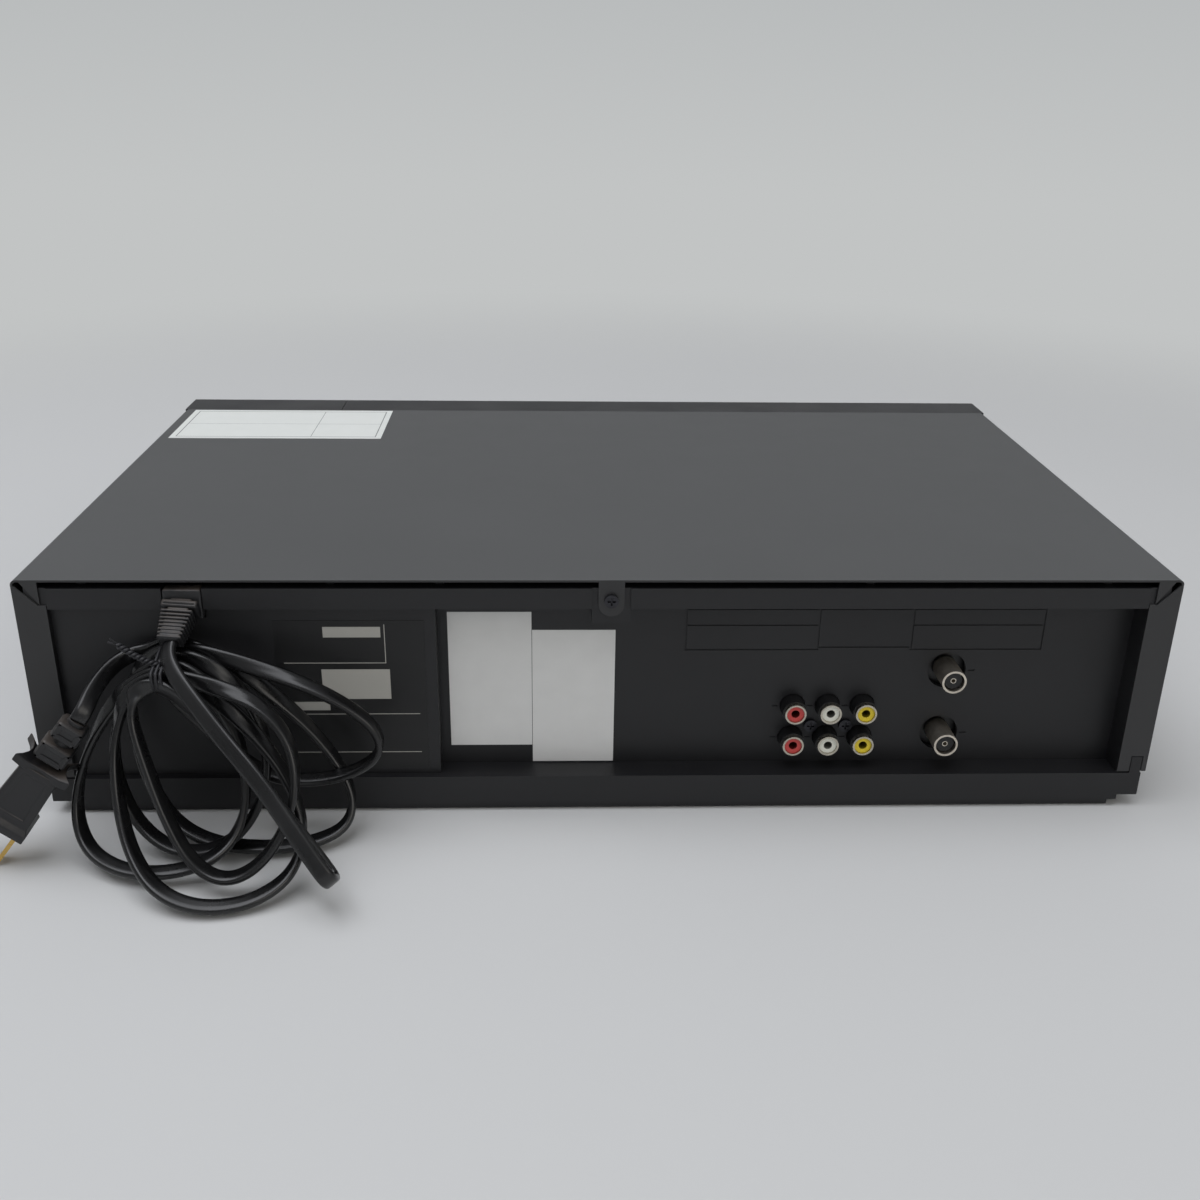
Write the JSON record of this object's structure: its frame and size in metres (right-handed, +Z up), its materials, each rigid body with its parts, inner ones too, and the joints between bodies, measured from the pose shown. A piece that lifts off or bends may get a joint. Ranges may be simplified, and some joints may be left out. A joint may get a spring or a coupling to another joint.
{
  "type": "video cassette recorder",
  "caption": "Video cassette recorder in a folded steel cover, with a front-loading tape mechanism, rear sockets and a tied mains lead.",
  "frame": {"origin": "on the surface the feet stand on, under the middle of the case", "axes": "+X is to the right as seen from the front, +Y goes to the rear panel with the sockets, +Z is up"},
  "size_m": [0.4491, 0.3417, 0.0981],
  "materials": {
    "painted_steel": "satin black paint on folded steel",
    "zinc_steel": "zinc plated",
    "bright_steel": "ground shafts and screws",
    "cast_metal": "turned",
    "nickel": "nickel plated",
    "case_plastic": "fine textured black",
    "bezel_plastic": "fine satin black",
    "button_plastic": "satin dark grey",
    "gloss_black": "glossy black",
    "window_plastic": "smoked, polished",
    "tube_glass": "dark display glass",
    "board": "printed circuit board with its parts",
    "white_plastic": "moulded mechanism plastic",
    "grey_plastic": "moulded mechanism plastic",
    "rubber": "soft black rubber",
    "lead_plastic": "soft black PVC",
    "insert_plastic": "red, white and yellow inserts",
    "label_black": "printed foil label",
    "label_white": "white paper label",
    "label_top": "paper label",
    "brass": "bare brass"
  },
  "bodies": {
    "case": {"top_cover": "painted_steel", "base_frame": "case_plastic", "rear_panel": "case_plastic", "bottom_plate": "zinc_steel", "feet": "rubber", "screws": "bright_steel", "front_panel": "bezel_plastic", "control_panel": "bezel_plastic", "door_spring": "bright_steel", "display_window": "window_plastic", "display_tube": "tube_glass", "front_board": "board", "deck_plate": "zinc_steel", "lower_drum": "cast_metal", "capstan_housing": "cast_metal", "drive_belt": "rubber", "erase_head": "cast_metal", "audio_control_head": "cast_metal", "loading_motor": "zinc_steel", "main_board": "board", "power_board": "board", "tuner_can": "zinc_steel", "antenna_sockets": "nickel", "jack_block": "gloss_black", "jack_rings": "nickel", "jack_inserts": "insert_plastic", "rating_label": "label_black", "white_stickers": "label_white", "top_label": "label_top", "strain_relief": "lead_plastic", "mains_lead": "lead_plastic", "twist_tie": "lead_plastic", "plug": "lead_plastic", "plug_blades": "brass", "left_bracket": "zinc_steel", "right_bracket": "zinc_steel"},
    "cassette_door": {"cassette_door": "bezel_plastic"},
    "upper_drum": {"upper_drum": "cast_metal"},
    "capstan": {"capstan": "bright_steel"},
    "clutch": {"clutch_pulley": "white_plastic"},
    "supply_reel": {"supply_reel": "white_plastic"},
    "takeup_reel": {"takeup_reel": "white_plastic"},
    "idler_arm": {"idler_arm": "zinc_steel"},
    "idler_wheel": {"idler_wheel": "white_plastic"},
    "pinch_arm": {"pinch_arm": "zinc_steel"},
    "pinch_roller": {"pinch_roller": "rubber"},
    "supply_guide": {"supply_guide": "bright_steel"},
    "takeup_guide": {"takeup_guide": "bright_steel"},
    "cam_gear": {"cam_gear": "white_plastic"},
    "motor_worm": {"motor_worm": "white_plastic"},
    "carriage": {"carriage_slides": "zinc_steel"},
    "cassette_holder": {"cassette_holder": "zinc_steel"},
    "power_button": {"power_button": "button_plastic"},
    "stop_eject_button": {"stop_eject_button": "button_plastic"},
    "record_button": {"record_button": "button_plastic"},
    "play_button": {"play_button": "button_plastic"},
    "rewind_button": {"rewind_button": "button_plastic"},
    "fast_forward_button": {"fast_forward_button": "button_plastic"},
    "channel_down_button": {"channel_down_button": "button_plastic"},
    "channel_up_button": {"channel_up_button": "button_plastic"}
  },
  "joints": [
    {"name": "door_hinge", "type": "hinge", "parent": "case", "child": "cassette_door", "pos_m": [0, -0.1316, 0.0864], "axis": [1, 0, 0], "range_deg": [0, 88], "stiffness_Nm_per_rad": 0.004},
    {"name": "drum_spin", "type": "hinge", "parent": "case", "child": "upper_drum", "pos_m": [-0.004, 0.062, 0.027], "axis": [0, 0.104, 0.9946], "continuous": true},
    {"name": "capstan_spin", "type": "hinge", "parent": "case", "child": "capstan", "pos_m": [0.04, 0.012, 0.03], "axis": [0, 0, 1], "continuous": true},
    {"name": "clutch_spin", "type": "hinge", "parent": "case", "child": "clutch", "pos_m": [0, 0.006, 0.02], "axis": [0, 0, 1], "continuous": true},
    {"name": "supply_reel_spin", "type": "hinge", "parent": "case", "child": "supply_reel", "pos_m": [-0.046, -0.031, 0.025], "axis": [0, 0, 1], "continuous": true},
    {"name": "takeup_reel_spin", "type": "hinge", "parent": "case", "child": "takeup_reel", "pos_m": [0.046, -0.031, 0.025], "axis": [0, 0, 1], "continuous": true},
    {"name": "idler_swing", "type": "hinge", "parent": "case", "child": "idler_arm", "pos_m": [0, 0.006, 0.023], "axis": [0, 0, 1], "range_deg": [-16.5, 16.5]},
    {"name": "idler_spin", "type": "hinge", "parent": "idler_arm", "child": "idler_wheel", "pos_m": [0, -0.022, 0.025], "axis": [0, 0, 1], "continuous": true},
    {"name": "pinch_swing", "type": "hinge", "parent": "case", "child": "pinch_arm", "pos_m": [0.074, 0.02, 0.025], "axis": [0, 0, 1], "range_deg": [-24.4, 0]},
    {"name": "pinch_roller_spin", "type": "hinge", "parent": "pinch_arm", "child": "pinch_roller", "pos_m": [0.05525, -0.00235, 0.035], "axis": [0, 0, 1], "continuous": true},
    {"name": "cam_turn", "type": "hinge", "parent": "case", "child": "cam_gear", "pos_m": [0.08, 0.078, 0.031], "axis": [0, 0, 1], "range_deg": [0, 270]},
    {"name": "worm_spin", "type": "hinge", "parent": "case", "child": "motor_worm", "pos_m": [0.08, 0.1013, 0.031], "axis": [1, 0, 0], "range_deg": [0, 10800]},
    {"name": "supply_guide_slide", "type": "slide", "parent": "case", "child": "supply_guide", "axis": [-0.4472, 0.8944, 0], "range_m": [0, 0.05814]},
    {"name": "takeup_guide_slide", "type": "slide", "parent": "case", "child": "takeup_guide", "axis": [0.4027, 0.9153, 0], "range_m": [0, 0.05463]},
    {"name": "carriage_slide", "type": "slide", "parent": "case", "child": "carriage", "axis": [0, 1, 0], "range_m": [0, 0.067]},
    {"name": "holder_drop", "type": "slide", "parent": "carriage", "child": "cassette_holder", "axis": [0, 0, -1], "range_m": [0, 0.029]},
    {"name": "power_button_press", "type": "slide", "parent": "case", "child": "power_button", "axis": [0, 1, 0], "range_m": [0, 0.0008], "stiffness_N_per_m": 250},
    {"name": "stop_eject_button_press", "type": "slide", "parent": "case", "child": "stop_eject_button", "axis": [0, 1, 0], "range_m": [0, 0.0008], "stiffness_N_per_m": 250},
    {"name": "record_button_press", "type": "slide", "parent": "case", "child": "record_button", "axis": [0, 1, 0], "range_m": [0, 0.0008], "stiffness_N_per_m": 250},
    {"name": "play_button_press", "type": "slide", "parent": "case", "child": "play_button", "axis": [0, 1, 0], "range_m": [0, 0.0008], "stiffness_N_per_m": 250},
    {"name": "rewind_button_press", "type": "slide", "parent": "case", "child": "rewind_button", "axis": [0, 1, 0], "range_m": [0, 0.0008], "stiffness_N_per_m": 250},
    {"name": "fast_forward_button_press", "type": "slide", "parent": "case", "child": "fast_forward_button", "axis": [0, 1, 0], "range_m": [0, 0.0008], "stiffness_N_per_m": 250},
    {"name": "channel_down_button_press", "type": "slide", "parent": "case", "child": "channel_down_button", "axis": [0, 1, 0], "range_m": [0, 0.0008], "stiffness_N_per_m": 250},
    {"name": "channel_up_button_press", "type": "slide", "parent": "case", "child": "channel_up_button", "axis": [0, 1, 0], "range_m": [0, 0.0008], "stiffness_N_per_m": 250}
  ],
  "couplings": [
    {"joint": "clutch_spin", "follows": "capstan_spin", "ratio": 0.59322},
    {"joint": "supply_guide_slide", "follows": "cam_turn", "m_per_rad": 0.012337},
    {"joint": "takeup_guide_slide", "follows": "cam_turn", "m_per_rad": 0.011592},
    {"joint": "worm_spin", "follows": "cam_turn", "ratio": 40}
  ]
}
